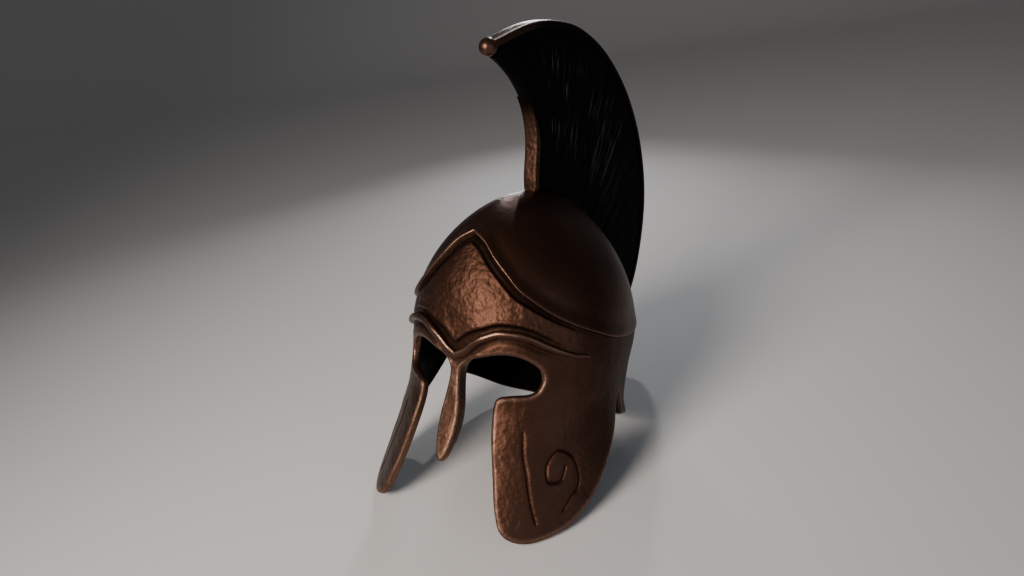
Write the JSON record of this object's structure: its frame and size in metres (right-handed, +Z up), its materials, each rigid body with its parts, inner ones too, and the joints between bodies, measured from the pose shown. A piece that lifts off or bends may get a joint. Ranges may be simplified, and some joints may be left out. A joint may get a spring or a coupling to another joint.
{
  "type": "greek bronze helmet with crest",
  "caption": "Open-faced Greek bronze helmet with nasal, spreading cheek guards, brow moulding, neck guard and a tall hooked horsehair crest edged in bronze.",
  "frame": {"origin": "middle of the foot of the bounding box, on the surface that the helmet rests on", "axes": "+X to the wearer's left, -Y towards the face, +Z up"},
  "size_m": [0.2244, 0.3994, 0.3818],
  "materials": {
    "bronze": "dark reddish brown bronze, cast and hammered, satin, with worn edges",
    "bright_bronze": "the same bronze, a little brighter where it is rubbed",
    "horsehair": "near black, stiff, fine upright strands"
  },
  "bodies": {
    "root": {"crown": "bronze", "face_shell": "bronze", "brow_moulding": "bright_bronze", "crest_rim": "bright_bronze", "crest_front_band": "bright_bronze", "crest_plume": "horsehair"}
  },
  "joints": []
}
